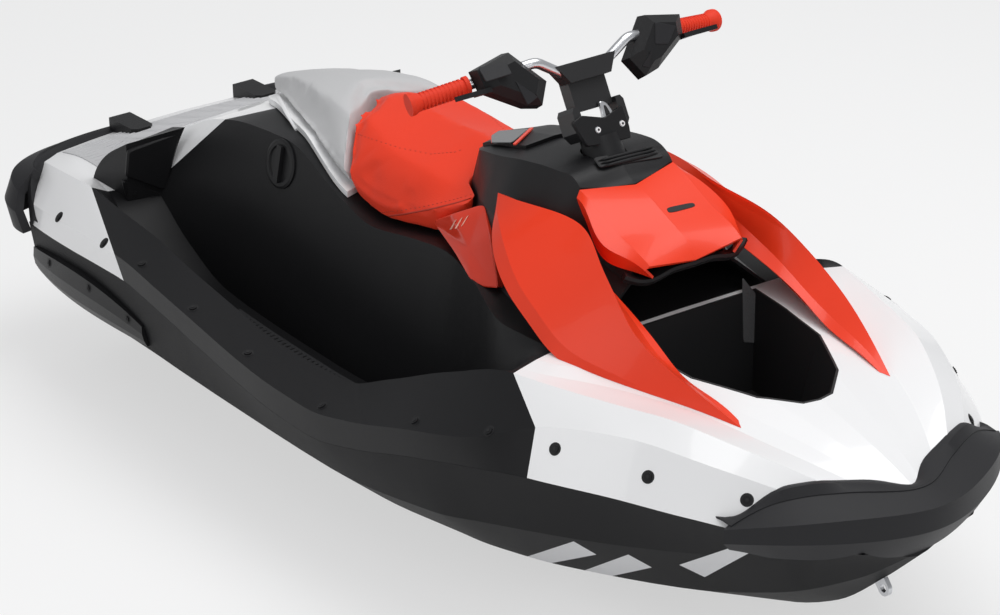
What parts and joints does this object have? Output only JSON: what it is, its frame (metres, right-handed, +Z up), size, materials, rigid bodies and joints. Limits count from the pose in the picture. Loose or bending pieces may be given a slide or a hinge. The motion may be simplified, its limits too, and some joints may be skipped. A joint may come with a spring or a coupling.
{
  "type": "personal watercraft",
  "caption": "Compact sit-down personal watercraft with moulded hull and deck, lift-off seat, sliding handlebar riser, jet pump, steering nozzle and reverse gate.",
  "frame": {"origin": "on the centre plane at half the length, at the height where still water meets the hull", "axes": "+X towards the bow, +Y to port, +Z up"},
  "size_m": [2.7902, 1.18, 1.1083],
  "materials": {
    "black_hull": "matte textured",
    "black_deck": "satin",
    "white_panel": "gloss",
    "red_panel": "gloss",
    "dark_bumper": "satin",
    "red_vinyl": "grained",
    "grey_vinyl": "grained",
    "white_trim": "satin",
    "black_metal": "satin",
    "silver_metal": "satin",
    "red_rubber": "matte",
    "black_plastic": "satin",
    "pump_alloy": "cast",
    "stainless": "brushed",
    "engine_metal": "matte",
    "clear_red": "gloss"
  },
  "bodies": {
    "root": {"hull": "black_hull", "aft_deck": "white_panel", "deck_tub": "black_deck", "bow_deck": "white_panel", "bow_locker": "black_plastic", "bow_bumper": "dark_bumper", "stern_bumper_starboard": "dark_bumper", "stern_bumper_port": "dark_bumper", "side_fairing_starboard": "red_panel", "side_fairing_port": "red_panel", "hood": "red_panel", "console": "black_plastic", "gauge": "black_plastic", "steering_neck": "black_plastic", "knee_panel_starboard": "clear_red", "knee_panel_port": "clear_red", "stern_cleats": "black_plastic", "foot_wedge_starboard": "black_plastic", "foot_wedge_port": "black_plastic", "sponson_starboard": "black_plastic", "sponson_port": "black_plastic", "engine": "engine_metal", "pump_housing": "pump_alloy", "venturi": "pump_alloy", "gimbal_bracket_port": "pump_alloy", "gimbal_bracket_starboard": "pump_alloy", "ride_plate": "black_plastic", "intake_grate": "pump_alloy", "bow_eye": "stainless", "fuel_cap": "black_plastic"},
    "steering": {"steering_column": "black_metal"},
    "riser": {"bar_riser": "black_metal", "handlebar": "silver_metal", "grip_port": "red_rubber", "grip_starboard": "red_rubber", "control_pod_port": "black_plastic", "control_pod_starboard": "black_plastic", "levers": "black_plastic"},
    "seat": {"seat_front": "red_vinyl", "seat_rear": "grey_vinyl", "seat_trim": "white_trim"},
    "trim": {"trim_ring": "pump_alloy"},
    "nozzle": {"steering_nozzle": "pump_alloy"},
    "gate": {"reverse_gate": "pump_alloy"},
    "impeller": {"impeller": "stainless"}
  },
  "joints": [
    {"name": "steering_turn", "type": "hinge", "parent": "root", "child": "steering", "pos_m": [0.318, 0, 0.7011], "axis": [-0.454, 0, 0.891], "range_deg": [-20, 20]},
    {"name": "riser_slide", "type": "slide", "parent": "steering", "child": "riser", "axis": [-0.454, 0, 0.891], "range_m": [-0.045, 0]},
    {"name": "seat_lift", "type": "hinge", "parent": "root", "child": "seat", "pos_m": [0.02, 0, 0.56], "axis": [0, 1, 0], "range_deg": [0, 35]},
    {"name": "nozzle_trim", "type": "hinge", "parent": "root", "child": "trim", "pos_m": [-1.225, 0, -0.075], "axis": [0, 1, 0], "range_deg": [-8, 8]},
    {"name": "nozzle_steer", "type": "hinge", "parent": "trim", "child": "nozzle", "pos_m": [-1.225, 0, -0.075], "axis": [0, 0, 1], "range_deg": [-20, 20]},
    {"name": "reverse_gate_swing", "type": "hinge", "parent": "root", "child": "gate", "pos_m": [-1.225, 0, -0.075], "axis": [0, -1, 0], "range_deg": [0, 78]},
    {"name": "impeller_spin", "type": "hinge", "parent": "root", "child": "impeller", "pos_m": [-0.9, 0, -0.075], "axis": [1, 0, 0], "continuous": true}
  ],
  "couplings": [
    {"joint": "nozzle_steer", "follows": "steering_turn", "ratio": -1}
  ]
}
